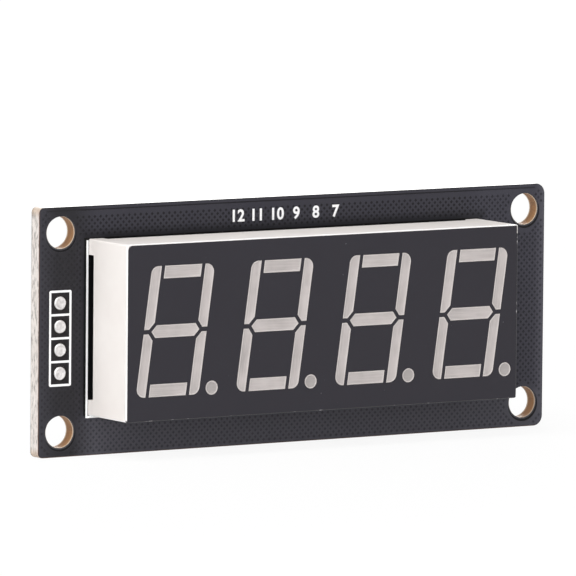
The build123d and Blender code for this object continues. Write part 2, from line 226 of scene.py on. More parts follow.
@dataclass(frozen=True)
class SolderMask(Finish):
    """Black epoxy mask, screened on and cured: satin, and shifting in tone from side to side, with painted
    light and shade round the display, the holes and the right edge.
    """

    # low: a painted fill light, lighter below the display where the housing's shadow falls
    low: str = "#3A393F"
    # left: the tone left of the display, laid over the painted fill light where the housing casts no shadow
    left: str = "#262528"
    side: str = "#302F34"
    right: str = "#2B2A30"
    # far: a painted sheen along the board's right edge
    far: str = "#3C3B42"
    # gap: near black, a painted shadow beside and above the display
    gap: str = "#0A0A0B"
    cell: str = "#242224"
    # A painted shade in a ring round each hole
    hole_ring_shade: str = "#18171A"
    routed: str = "#5A443B"
    painted_fill_fade_mm: float = 0.7
    left_from_mm: float = HOUSING.left + 0.9
    left_fade_mm: float = 2.8
    side_from_mm: float = BOARD.left + 2.2
    side_fade_mm: float = 2.0
    right_from_mm: float = HOUSING.right - 2.0
    right_fade_mm: float = 3.0
    sheen_from_mm: float = BOARD.right - 1.3
    sheen_fade_mm: float = 1.3
    shadow_reach_mm: float = 1.25
    shadow_full_mm: float = 0.3
    shadow_share: float = 0.62
    shadow_rise_mm: float = 0.5
    cell_margin_mm: float = 0.4
    ring_reach_mm: float = RING_RADIUS + 0.03

    def coats(self, tree: bpy.types.NodeTree, place: bpy.types.NodeSocket) -> list[Coat]:
        """Shifts the tone from side to side, with a painted fill light below the display and a painted sheen
        at the right edge, paints shade round the display and holes, and browns the rim.

        Args:
            tree: the material's node tree.
            place: object coordinates in millimetres.

        Returns:
            Each coat's share and colour, in the order that they are laid.
        """
        coats = []
        spot = add(tree, "ShaderNodeSeparateXYZ", {0: place}).outputs
        for axis, start, end, colour in (
            ("X", self.right_from_mm, self.right_from_mm + self.right_fade_mm, self.right),
            ("Z", HOUSING.low, HOUSING.low - self.painted_fill_fade_mm, self.low),
            ("X", self.left_from_mm, self.left_from_mm - self.left_fade_mm, self.left),
            ("X", self.side_from_mm, self.side_from_mm - self.side_fade_mm, self.side),
            ("X", self.sheen_from_mm, self.sheen_from_mm + self.sheen_fade_mm, self.far),
        ):
            share = add(tree, "ShaderNodeMapRange", {0: spot[axis], 1: start, 2: end}).outputs[0]
            coats.append((share, colour))
        # A painted shadow of the housing on the mask beside and above the display
        coats.append((self.painted_shadow_beside_display(tree, place), self.gap))
        # The copper's clearance at the display is painted near black, as shade; the pads' cells get their own
        # tone
        around = self.cell_margin_mm
        for left, right, low, high, colour in (
            (BARE_LEFT, HOUSING.right, HOUSING.low, BARE_HIGH, self.gap),
            (PADS.left - around, PADS.right + around, PADS.low - around, PADS.high + around, self.cell),
        ):
            middle = ((left + right) / 2, 0.0, (low + high) / 2)
            away = add(tree, "ShaderNodeVectorMath", {0: place, 1: middle}, operation="SUBTRACT").outputs[0]
            away = add(tree, "ShaderNodeVectorMath", {0: away}, operation="ABSOLUTE").outputs[0]
            sides = add(tree, "ShaderNodeSeparateXYZ", {0: away}).outputs
            beside, level = (
                add(tree, "ShaderNodeMath", {0: sides[axis], 1: half}, operation="LESS_THAN").outputs[0]
                for axis, half in (("X", (right - left) / 2), ("Z", (high - low) / 2))
            )
            inside = add(tree, "ShaderNodeMath", {0: beside, 1: level}, operation="MULTIPLY").outputs[0]
            coats.append((inside, colour))
        flat = add(
            tree, "ShaderNodeVectorMath", {0: place, 1: (1.0, 0.0, 1.0)}, operation="MULTIPLY"
        ).outputs[0]
        rings = [
            add(tree, "ShaderNodeVectorMath", {0: flat, 1: (x, 0, z)}, operation="DISTANCE").outputs["Value"]
            for x, z in RINGS
        ]
        for reach, limit, colour in (
            *((ring, self.ring_reach_mm, self.hole_ring_shade) for ring in rings),
            (spot["X"], BOARD.left + EDGE_INSET, self.routed),
            (spot["Z"], BOARD.low + EDGE_INSET, self.routed),
        ):
            within = add(tree, "ShaderNodeMath", {0: reach, 1: limit}, operation="LESS_THAN").outputs[0]
            coats.append((within, colour))
        return coats

    def painted_shadow_beside_display(
        self, tree: bpy.types.NodeTree, place: bpy.types.NodeSocket
    ) -> bpy.types.NodeSocket:
        """Paints the housing's shadow on the mask, growing towards the display's base, beside and above it.

        Args:
            tree: the material's node tree.
            place: object coordinates in millimetres.

        Returns:
            The share's output.
        """
        middle = ((HOUSING.left + HOUSING.right) / 2, 0.0, (HOUSING.low + HOUSING.high) / 2)
        half = ((HOUSING.right - HOUSING.left) / 2, 0.0, (HOUSING.high - HOUSING.low) / 2)
        away = add(tree, "ShaderNodeVectorMath", {0: place, 1: middle}, operation="SUBTRACT").outputs[0]
        height = add(tree, "ShaderNodeSeparateXYZ", {0: away}).outputs["Z"]
        away = add(tree, "ShaderNodeVectorMath", {0: away}, operation="ABSOLUTE").outputs[0]
        away = add(tree, "ShaderNodeVectorMath", {0: away, 1: half}, operation="SUBTRACT").outputs[0]
        sides = add(tree, "ShaderNodeSeparateXYZ", {0: away}).outputs
        reach = add(tree, "ShaderNodeMath", {0: sides["X"], 1: sides["Z"]}, operation="MAXIMUM").outputs[0]
        share = add(
            tree,
            "ShaderNodeMapRange",
            {0: reach, 1: self.shadow_reach_mm, 2: self.shadow_full_mm, 4: self.shadow_share},
        ).outputs[0]
        above = add(
            tree, "ShaderNodeMapRange", {0: height, 1: -half[2], 2: self.shadow_rise_mm - half[2]}
        ).outputs[0]
        return add(tree, "ShaderNodeMath", {0: share, 1: above}, operation="MULTIPLY").outputs[0]


@dataclass(frozen=True)
class Laminate(Finish):
    """Glass cloth in epoxy, routed and drilled: cream plies at the edge, brown resin in the holes."""

    fibre: str = "#7F7A76"
    pinkish: str = "#D5CAC5"
    burnt: str = "#9E7347"
    # A painted shade that darkens the hole's wall with depth
    deep_shade_brown: str = "#7F5A38"
    burnt_rim: str = "#C9B49C"
    # A painted shade: the front face darkened in a ring round each hole
    face: str = "#3B3A3F"
    # A painted highlight along the board's top edge
    painted_top_highlight: str = "#FBF9F7"
    corner: str = "#B39A80"
    ply_mm: float = 0.2
    fibre_length_mm: float = 1.1
    fibre_span: Span = (0.5, 0.62)
    fibre_share: float = 0.95
    pinkish_share: float = 0.9
    deep_shade_share: float = 0.8
    hole_reach_mm: float = 1.76
    hole_fade_mm: float = 0.02
    face_reach_mm: float = 2.2
    face_y_mm: float = -1.515
    middle_y_mm: float = -0.76
    rim_mm: float = 0.5
    rim_fade_mm: float = 0.16
    corner_mm: float = 1.1
    corner_full_mm: float = 0.3
    corner_share: float = 0.7
    painted_top_highlight_z_mm: float = BOARD.high - 0.2
    painted_top_highlight_fade_mm: float = 0.15

    def coats(self, tree: bpy.types.NodeTree, place: bpy.types.NodeSocket) -> list[Coat]:
        """Lays the plies along the edge, paints a highlight along the top edge, and browns the routed corners
        and the drilled walls.

        Args:
            tree: the material's node tree.
            place: object coordinates in millimetres.

        Returns:
            Each coat's share and colour, in the order that they are laid.
        """
        spot = add(tree, "ShaderNodeSeparateXYZ", {0: place}).outputs
        plies = add(
            tree,
            "ShaderNodeVectorMath",
            {0: place, 1: (1 / self.fibre_length_mm, 1 / self.ply_mm, 1 / self.fibre_length_mm)},
            operation="MULTIPLY",
        ).outputs[0]
        weave = add(
            tree, "ShaderNodeTexNoise", {"Vector": plies, "Scale": 1.0, "Detail": 5.0, "Roughness": 0.65}
        ).outputs[0]
        folded = add(tree, "ShaderNodeVectorMath", {0: place}, operation="ABSOLUTE").outputs[0]
        tips = add(
            tree,
            "ShaderNodeVectorMath",
            {0: (BOARD.right, 0.0, BOARD.high), 1: folded},
            operation="SUBTRACT",
        ).outputs[0]
        tip = add(tree, "ShaderNodeSeparateXYZ", {0: tips}).outputs
        away = add(tree, "ShaderNodeMath", {0: tip["X"], 1: tip["Z"]}, operation="ADD").outputs[0]
        flat = add(
            tree, "ShaderNodeVectorMath", {0: folded, 1: (1.0, 0.0, 1.0)}, operation="MULTIPLY"
        ).outputs[0]
        reach = add(
            tree, "ShaderNodeVectorMath", {0: flat, 1: (HOLE_X, 0.0, HOLE_Z)}, operation="DISTANCE"
        ).outputs["Value"]
        pinkish, fibre, painted_top_highlight, corner, drilled = (
            add(tree, "ShaderNodeMapRange", {0: value, 1: start, 2: end, 4: most}).outputs[0]
            for value, start, end, most in (
                (spot["Y"], self.middle_y_mm, self.face_y_mm, self.pinkish_share),
                (weave, *self.fibre_span, self.fibre_share),
                (spot["Z"], self.painted_top_highlight_z_mm, self.painted_top_highlight_z_mm + self.painted_top_highlight_fade_mm, 1.0),
                (away, self.corner_mm, self.corner_full_mm, self.corner_share),
                (reach, self.hole_reach_mm + self.hole_fade_mm, self.hole_reach_mm, 1.0),
            )
        )
        near, front, outside = (
            add(tree, "ShaderNodeMath", {0: value, 1: limit}, operation=test).outputs[0]
            for value, limit, test in (
                (reach, self.face_reach_mm, "LESS_THAN"),
                (spot["Y"], self.face_y_mm, "LESS_THAN"),
                (reach, self.hole_reach_mm, "GREATER_THAN"),
            )
        )
        # A painted shade in a ring round each hole, on the front face
        painted_hole_shade = add(tree, "ShaderNodeMath", {0: near, 1: front}, operation="MULTIPLY").outputs[0]
        painted_hole_shade = add(tree, "ShaderNodeMath", {0: painted_hole_shade, 1: outside}, operation="MULTIPLY").outputs[0]
        return [
            (pinkish, self.pinkish),
            (fibre, self.fibre),
            (painted_top_highlight, self.painted_top_highlight),
            (corner, self.corner),
            (drilled, self.drilled_wall(tree, spot["Y"], fibre)),
            (painted_hole_shade, self.face),
        ]

    def drilled_wall(
        self, tree: bpy.types.NodeTree, depth: bpy.types.NodeSocket, fibre: bpy.types.NodeSocket
    ) -> bpy.types.NodeSocket:
        """Burns a hole's wall, darker with depth as a painted shade and along the fibres, and paler at both
        rims.

        Args:
            tree: the material's node tree.
            depth: the place along the hole.
            fibre: the fibres' share.

        Returns:
            The colour's output.
        """
        deep_shade_and_fibre = add(
            tree, "ShaderNodeMapRange", {0: depth, 1: self.face_y_mm, 2: 0.0, 4: self.deep_shade_share}
        ).outputs[0]
        deep_shade_and_fibre = add(tree, "ShaderNodeMath", {0: deep_shade_and_fibre, 1: fibre}, operation="MAXIMUM").outputs[0]
        out = add(
            tree, "ShaderNodeMath", {0: depth, 1: self.middle_y_mm}, operation="SUBTRACT"
        ).outputs[0]
        out = add(tree, "ShaderNodeMath", {0: out}, operation="ABSOLUTE").outputs[0]
        rim = add(
            tree, "ShaderNodeMapRange", {0: out, 1: self.rim_mm, 2: self.rim_mm + self.rim_fade_mm}
        ).outputs[0]
        wall = linear(self.burnt)
        for share, colour in ((deep_shade_and_fibre, self.deep_shade_brown), (rim, self.burnt_rim)):
            inputs = {0: share, 6: wall, 7: linear(colour)}
            wall = add(tree, "ShaderNodeMix", inputs, data_type="RGBA").outputs[2]
        return wall


@dataclass(frozen=True)
class HousingPlastic(Finish):
    """White polycarbonate, moulded: satin and even, with black paint lapped over two front rims."""

    paint: str = "#242327"
    worn: str = "#B9B6B8"
    # Painted highlights along the left edges and the top front edge
    bright: str = "#FFFEFD"
    foot: str = "#E9E3DF"
    foot_from_mm: float = HOUSING.back - 1.0
    foot_fade_mm: float = 0.1
    rim_mm: float = 0.2
    rim_low_mm: float = 0.1
    # The top edge's painted highlight reaches back from the front in patches
    highlight_patch_mm: float = 2.6
    highlight_patch_span: Span = (0.45, 0.7)
    highlight_patch_full_share: float = 0.3
    lap_mm: float = 0.3
    lap_right_mm: float = 0.24
    lap_low_mm: float = 0.12
    lap_depth_mm: float = 0.22
    lap_front_mm: float = 0.16
    bare_corner_mm: float = HOUSING.high - 0.95
    bare_fade_mm: float = 0.05
    worn_patch_mm: float = 0.7
    worn_span: Span = (0.63, 0.75)

    def coats(self, tree: bpy.types.NodeTree, place: bpy.types.NodeSocket) -> list[Coat]:
        """Greys the feet, lays painted highlights on the left edges and in patches along the top front edge,
        and paints the right and lower rims.

        Args:
            tree: the material's node tree.
            place: object coordinates in millimetres.

        Returns:
            Each coat's share and colour, in the order that they are laid.
        """
        spot = add(tree, "ShaderNodeSeparateXYZ", {0: place}).outputs
        highlight_patch = add(
            tree, "ShaderNodeTexNoise", {"Vector": place, "Scale": 1 / self.highlight_patch_mm, "Detail": 3.0}
        ).outputs[0]
        start, end = self.highlight_patch_span
        reach = add(
            tree,
            "ShaderNodeMapRange",
            {0: highlight_patch, 1: start, 2: end, 3: self.rim_mm, 4: self.highlight_patch_mm / 2},
        ).outputs[0]
        full = add(
            tree, "ShaderNodeMath", {0: reach, 1: self.highlight_patch_full_share}, operation="MULTIPLY"
        ).outputs[0]
        ahead = add(
            tree, "ShaderNodeMath", {0: spot["Y"], 1: HOUSING.front}, operation="SUBTRACT"
        ).outputs[0]
        foot, left, low, high, front, highlight_patched = (
            add(tree, "ShaderNodeMapRange", {0: value, 1: start, 2: end}).outputs[0]
            for value, start, end in (
                (spot["Y"], self.foot_from_mm, self.foot_from_mm + self.foot_fade_mm),
                (spot["X"], HOUSING.left + self.rim_mm, HOUSING.left),
                (spot["Z"], HOUSING.low + self.rim_mm, HOUSING.low + self.rim_low_mm),
                (spot["Z"], HOUSING.high - self.rim_mm, HOUSING.high),
                (ahead, self.rim_mm, self.rim_mm / 2),
                (ahead, reach, full),
            )
        )
        coats = [(foot, self.foot)]
        # Painted highlights: the left front edge, the top front edge in patches, and the left lower edge
        for first, second in ((left, front), (high, highlight_patched), (left, low)):
            both = add(tree, "ShaderNodeMath", {0: first, 1: second}, operation="MINIMUM").outputs[0]
            coats.append((both, self.bright))
        return [*coats, (self.lapped(tree, spot), self.rubbed_paint(tree, place))]

    def lapped(self, tree: bpy.types.NodeTree, spot: bpy.types.NodeOutputs) -> bpy.types.NodeSocket:
        """Finds where the face's paint laps over the right and lower rims, short of the upper corner.

        Args:
            tree: the material's node tree.
            spot: object coordinates in millimetres, one output for each axis.

        Returns:
            The share's output.
        """
        share, below, low, near = (
            add(tree, "ShaderNodeMapRange", {0: spot[axis], 1: start, 2: end}).outputs[0]
            for axis, start, end in (
                ("X", HOUSING.right - self.lap_mm, HOUSING.right - self.lap_right_mm),
                ("Z", self.bare_corner_mm, self.bare_corner_mm - self.bare_fade_mm),
                ("Z", HOUSING.low + self.lap_mm, HOUSING.low + self.lap_low_mm),
                ("Y", HOUSING.front + self.lap_depth_mm, HOUSING.front + self.lap_front_mm),
            )
        )
        for operation, other in (("MULTIPLY", below), ("MAXIMUM", low), ("MULTIPLY", near)):
            share = add(tree, "ShaderNodeMath", {0: share, 1: other}, operation=operation).outputs[0]
        return share

    def rubbed_paint(
        self, tree: bpy.types.NodeTree, place: bpy.types.NodeSocket
    ) -> bpy.types.NodeSocket:
        """Chips the paint in small patches.

        Args:
            tree: the material's node tree.
            place: object coordinates in millimetres.

        Returns:
            The colour's output.
        """
        rubbed = add(
            tree, "ShaderNodeTexNoise", {"Vector": place, "Scale": 1 / self.worn_patch_mm, "Detail": 5.0}
        ).outputs[0]
        start, end = self.worn_span
        rubbed = add(tree, "ShaderNodeMapRange", {0: rubbed, 1: start, 2: end}).outputs[0]
        inputs = {0: rubbed, 6: linear(self.paint), 7: linear(self.worn)}
        return add(tree, "ShaderNodeMix", inputs, data_type="RGBA").outputs[2]


@dataclass(frozen=True)
class FaceFilm(Finish):
    """Printed black film: even and matt, with a few pale flecks of dust."""

    fleck: str = "#77757B"
    fleck_mm: float = 0.3
    fleck_span: Span = (0.79, 0.84)

    def coats(self, tree: bpy.types.NodeTree, place: bpy.types.NodeSocket) -> list[Coat]:
        """Scatters the flecks over the film's own tone.

        Args:
            tree: the material's node tree.
            place: object coordinates in millimetres.

        Returns:
            The flecks' share and colour.
        """
        dust = add(
            tree, "ShaderNodeTexNoise", {"Vector": place, "Scale": 1 / self.fleck_mm, "Detail": 1.0}
        ).outputs[0]
        start, end = self.fleck_span
        return [(add(tree, "ShaderNodeMapRange", {0: dust, 1: start, 2: end}).outputs[0], self.fleck)]


@dataclass(frozen=True)
class SegmentResin(Finish):
    """Milky epoxy poured in the wells: cloudy, with fine pale streaks along each segment."""

    streak: str = "#CAC3C0"
    streak_width_mm: float = 0.16
    streak_length_mm: float = 3.5
    streak_span: Span = (0.42, 0.72)
    streak_share: float = 0.5

    def coats(self, tree: bpy.types.NodeTree, place: bpy.types.NodeSocket) -> list[Coat]:
        """Draws the streaks on the segment's own map, whose first axis runs along it.

        Args:
            tree: the material's node tree.
            place: object coordinates in millimetres; not used.

        Returns:
            The lines' share and colour.
        """
        along = add(tree, "ShaderNodeUVMap", uv_map="along").outputs[0]
        stretched = add(
            tree,
            "ShaderNodeVectorMath",
            {0: along, 1: (1 / self.streak_length_mm, 1 / self.streak_width_mm, 0.0)},
            operation="MULTIPLY",
        ).outputs[0]
        lines = add(
            tree, "ShaderNodeTexNoise", {"Vector": stretched, "Scale": 1.0, "Detail": 3.0}
        ).outputs[0]
        start, end = self.streak_span
        share = add(
            tree, "ShaderNodeMapRange", {0: lines, 1: start, 2: end, 4: self.streak_share}
        ).outputs[0]
        return [(share, self.streak)]


@dataclass(frozen=True)
class ResistorCoat(Finish):
    """A white alumina chip under a black glass coat, which shows on top alone."""

    coat: str = "#17171A"
    coat_from_mm: float = 0.4

    def coats(self, tree: bpy.types.NodeTree, place: bpy.types.NodeSocket) -> list[Coat]:
        """Paints the coat on the side that faces away from the board.

        Args:
            tree: the material's node tree.
            place: object coordinates in millimetres.

        Returns:
            The coat's share and colour.
        """
        out = add(tree, "ShaderNodeSeparateXYZ", {0: place}).outputs["Y"]
        top = add(
            tree, "ShaderNodeMath", {0: out, 1: self.coat_from_mm}, operation="GREATER_THAN"
        ).outputs[0]
        return [(top, self.coat)]


class Finishes(Enum):
    """Every finish on the module."""

    # Cured liquid mask, pooled between copper: satin, near black
    MASK = SolderMask("satin_black_solder_mask", "#212024", "#232227", 0.45, specular=0.15, blotch_mm=3.0)
    # The same on the back, even from side to side
    BACK_MASK = Finish("satin_black_back_mask", "#222126", "#27262B", 0.42, specular=0.25, blotch_mm=4.0)
    # The back's mask where copper lifts it
    BACK_COPPER_MASK = Finish(
        "back_mask_over_copper", "#38373C", "#3E3D43", 0.38, specular=0.25, blotch_mm=5.0, grain_mm=0.3
    )
    # The front's mask where copper lifts it: a shade greyer and smoother
    COPPER_MASK = SolderMask(
        "solder_mask_over_copper", "#3B3A41", "#37363E", 0.42, specular=0.15, blotch_mm=4.0, grain_mm=0.3,
        # Its low tone is a painted fill light, its far tone a painted sheen, and its ring round each hole a
        # painted shade
        low="#4C4B52", left="#2B2A2E", side="#3A393F", right="#3E3D45", far="#504F57",
        hole_ring_shade="#38373C",
    )
    # Cut edge of the board: cream, streaked by glass fibre
    LAMINATE = Laminate("glass_epoxy_laminate", "#E0DAD5", "#D2CAC4", 0.6, blotch_mm=1.2, grain_mm=0.1)
    # Screen print: opaque white with a slightly toothed surface
    INK = Finish("screen_printed_white_ink", "#FFFFFF", "#F8F8FA", 0.55, specular=0.3, grain_mm=0.08)
    # Moulded housing: warm white, satin
    HOUSING = HousingPlastic(
        "moulded_white_polycarbonate", "#EEE9E5", "#E8E2DE", 0.4, specular=0.3, blotch_mm=5.0, grain_mm=0.2
    )
    # Printed film on the face: matt black with a faint violet cast
    FILM = FaceFilm(
        "matt_black_face_film", "#2E2C32", "#2F2D33", 0.55, specular=0.2, blotch_mm=6.0, grain_mm=0.1
    )
    # Moulded window edges: the housing's white, seen as a thin bright line round each light
    WINDOW = Finish("moulded_window_edge", "#CFC9C6", "#C6BFBC", 0.4, specular=0.4, grain_mm=0.2)
    # Cast lights: cloudy grey-white with a warm cast
    RESIN = SegmentResin("milky_epoxy_resin", "#C2BAB8", "#ACA5A3", 0.42, specular=0.4, blotch_mm=2.8)
    # The points' casting, thinner over its die: a shade darker
    POINT_RESIN = SegmentResin(
        "thin_milky_epoxy_resin", "#A7A19F", "#A19B99", 0.42, specular=0.4, blotch_mm=1.2, streak="#B1ABA9"
    )
    # Light-emitting dice: metallic with a warm cast
    DIE = Finish("gallium_arsenide_die", "#B09A62", "#8F7C4C", 0.3, metallic=0.6, blotch_mm=0.2)
    # Inner board: pale laminate
    CARRIER = Finish("pale_carrier_laminate", "#D9CFAE", "#CBBF9C", 0.6, blotch_mm=0.8)
    # Poured backing: cloudy cream resin with a wet look
    POTTING = Finish("poured_epoxy_backing", "#CFC8B6", "#C2B9A4", 0.25, blotch_mm=3.0)
    # Bright solder: silver, mirror-like but for faint ripples
    SOLDER = Finish(
        "bright_tin_lead_solder", "#E6E6E8", "#D4D4D8", 0.24, metallic=1.0, blotch_mm=0.5, grain_mm=0.3,
        grain_depth_mm=0.006, uneven_gloss=0.1,
    )
    # Pad solder, set slowly: pale and frosty
    PAD_SOLDER = Finish(
        "frosted_tin_lead_solder", "#FAF9F9", "#D6D4D4", 0.45, metallic=1.0, blotch_mm=0.25, grain_mm=0.14,
        grain_depth_mm=0.02, uneven_gloss=0.12,
    )
    # The plugs' middles: greyer as a painted shade, and duller
    PAD_MIDDLE_PAINTED_SHADE = Finish(
        "tin_lead_solder_painted_shade", "#F2F0F0", "#CFCDCD", 0.5, metallic=1.0, blotch_mm=0.3, grain_mm=0.14,
        grain_depth_mm=0.03, uneven_gloss=0.12,
    )
    # A dark brown, glassy ring round the plugs
    PLUG_RING = Finish("dark_glassy_plug_ring", "#1E1814", "#2A211A", 0.3, specular=0.2, blotch_mm=0.4)
    # Round pins: drawn wire with a dull tin skin
    WIRE = Finish("tinned_copper_wire", "#CFCFD2", "#BDBDC1", 0.3, metallic=1.0, blotch_mm=0.4)
    # Plated leads and ends: matt tin
    TIN = Finish("matt_tin_plating", "#C8C8CB", "#B4B4B8", 0.38, metallic=1.0, blotch_mm=0.4, grain_mm=0.08)
    # Chip body: transfer-moulded epoxy, sooty black and finely pitted
    CHIP = Finish(
        "transfer_moulded_epoxy", "#262628", "#2E2E30", 0.62, specular=0.35, blotch_mm=1.5, grain_mm=0.09,
        grain_depth_mm=0.006,
    )
    # Capacitor bodies: fired ceramic, tan
    CERAMIC = Finish("fired_capacitor_ceramic", "#B08C63", "#A07C55", 0.5, blotch_mm=0.5)
    # Resistor bodies: alumina under black glass
    RESISTOR = ResistorCoat("glass_coated_alumina", "#E4E2DC", "#DAD7D0", 0.35, blotch_mm=0.5)

    def material(self) -> bpy.types.Material:
        """The finish's material."""
        return self.value.material()


def dress(node: str, finish: Finishes) -> None:
    """Gives a CAD node its finish.

    Args:
        node: the node's name.
        finish: what it is made of.
    """
    piece = frame["nodes"][node]
    if not piece.material_slots:
        piece.data.materials.append(None)
    for place in piece.material_slots:
        place.material = finish.material()
    log.info("dressed %s in %s", node, finish.value.name)


def keep(name: str, mesh: bpy.types.Mesh) -> bpy.types.Object:
    """Adds a finished mesh to the object.

    Args:
        name: the piece's name.
        mesh: its mesh, in place and in metres.

    Returns:
        The piece, riding on the only body.
    """
    mesh.name = name
    piece = bpy.data.objects.new(name, mesh)
    bpy.context.scene.collection.objects.link(piece)
    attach(piece, BODY)
    log.info("built %s with %d faces", name, len(mesh.polygons))
    return piece


# Outlines


def circle(centre: Point, radius: float, steps: int = 40) -> Loop:
    """A ring of points."""
    turns = [2 * math.pi * step / steps for step in range(steps)]
    return [(centre[0] + radius * math.cos(turn), centre[1] + radius * math.sin(turn)) for turn in turns]


def rounded(
    left: float,
    right: float,
    low: float,
    high: float,
    left_radius: float,
    right_radius: float,
    steps: int = 8,
) -> Loop:
    """A rectangle with round corners.

    Args:
        left, right, low, high: its sides.
        left_radius, right_radius: of the corners at each end.
        steps: points on each corner.

    Returns:
        Its points, anticlockwise from the lower right corner.
    """
    loop = []
    for x, z, radius, start in (
        (right - right_radius, low + right_radius, right_radius, -90),
        (right - right_radius, high - right_radius, right_radius, 0),
        (left + left_radius, high - left_radius, left_radius, 90),
        (left + left_radius, low + left_radius, left_radius, 180),
    ):
        for step in range(steps + 1):
            turn = math.radians(start + 90 * step / steps)
            loop.append((x + radius * math.cos(turn), z + radius * math.sin(turn)))
    return loop


def sharp_box(left: float, right: float, low: float, high: float, radius: float = 0.03) -> Loop:
    """A rectangle with nearly sharp corners."""
    return rounded(left, right, low, high, radius, radius, 2)


def inset(loop: Loop, by: float, least_lean: float = 0.35) -> Loop:
    """Moves a convex outline's sides inwards.

    Args:
        loop: its points, anticlockwise.
        by: how far each side moves.
        least_lean: keeps a very sharp corner from moving too far.

    Returns:
        As many points, on the moved sides.
    """
    moved = []
    for index, here in enumerate(loop):
        before, after = Vector(loop[index - 1]), Vector(loop[(index + 1) % len(loop)])
        here = Vector(here)
        first, second = (here - before).normalized(), (after - here).normalized()
        inward_1, inward_2 = Vector((-first.y, first.x)), Vector((-second.y, second.x))
        lean = (inward_1 + inward_2).normalized()
        moved.append(tuple(here + lean * by / max(lean.dot(inward_1), least_lean)))
    return moved


# Copper under the mask


class Side(Enum):
    """Which way a relief faces: the sign turns it, and the level is the mask's outer face."""

    FRONT = (1, BOARD.front)
    BACK = (-1, BACK_BOARD.back)


class ReliefTree:
    """Geometry Nodes that grow a relief from lines drawn flat, and stand it on a face of the board."""

    NAME = "relief"
    OWN: tuple[tuple[str, str], ...] = ()
    SHARED = (
        ("Geometry", "NodeSocketGeometry"),
        ("Thickness", "NodeSocketFloat"),
        ("Level", "NodeSocketFloat"),
        ("Facing", "NodeSocketFloat"),
        ("Material", "NodeSocketMaterial"),
    )

    def __init__(self) -> None:
        """Builds the tree round what the kind of relief grows."""
        self.tree = bpy.data.node_groups.new(self.NAME, "GeometryNodeTree")
        self.sockets = {
            name: self.tree.interface.new_socket(name=name, in_out="INPUT", socket_type=kind)
            for name, kind in self.SHARED + self.OWN
        }
        self.tree.interface.new_socket(name="Geometry", in_out="OUTPUT", socket_type="NodeSocketGeometry")
        given = add(self.tree, "NodeGroupInput").outputs
        level = add(self.tree, "ShaderNodeCombineXYZ", {1: given["Level"]}).outputs[0]
        turn = add(
            self.tree, "ShaderNodeMath", {0: given["Facing"], 1: math.pi / 2}, operation="MULTIPLY"
        ).outputs[0]
        turn = add(self.tree, "ShaderNodeCombineXYZ", {0: turn}).outputs[0]
        stood = add(
            self.tree,
            "GeometryNodeTransform",
            {"Geometry": self.grow(given), "Translation": level, "Rotation": turn},
        ).outputs[0]
        real = add(self.tree, "GeometryNodeRealizeInstances", {0: stood}).outputs[0]
        shown = add(self.tree, "GeometryNodeSetMaterial", {0: real, 2: given["Material"]}).outputs[0]
        add(self.tree, "NodeGroupOutput", {0: shown})

    def grow(self, given: bpy.types.NodeOutputs) -> bpy.types.NodeSocket:
        """Makes the relief lying flat, with its top towards +Z."""
        raise NotImplementedError

    def run(
        self, name: str, lines: list[Loop], side: Side, finish: Finishes, closed: bool = True, **values: Any
    ) -> bpy.types.Mesh:
        """Runs the tree on lines drawn on one face of the board.

        Args:
            name: what the relief is.
            lines: routes or outlines in millimetres; an outline inside another is a cut-out.
            side: the face that it stands on.
            finish: what covers it.
            closed: whether each line is an outline.
            **values: the tree's own inputs.

        Returns:
            The relief's mesh.
        """
        sign, level = side.value
        drawn = bpy.data.curves.new(name, "CURVE")
        drawn.dimensions = "3D"
        for line in lines:
            spline = drawn.splines.new("POLY")
            spline.points.add(len(line) - 1)
            spline.use_cyclic_u = closed
            for point, (x, z) in zip(spline.points, line):
                point.co = (x * MM, sign * z * MM, 0.0, 1.0)
        holder = bpy.data.objects.new(name, drawn)
        bpy.context.scene.collection.objects.link(holder)
        modifier = holder.modifiers.new("relief", "NODES")
        modifier.node_group = self.tree
        shared = {"Level": level * MM, "Facing": float(sign), "Material": finish.material()}
        for key, value in {**shared, **values}.items():
            modifier[self.sockets[key].identifier] = value
        graph = bpy.context.evaluated_depsgraph_get()
        mesh = bpy.data.meshes.new_from_object(holder.evaluated_get(graph))
        holder.modifiers.remove(modifier)
        bpy.data.objects.remove(holder)
        return mesh


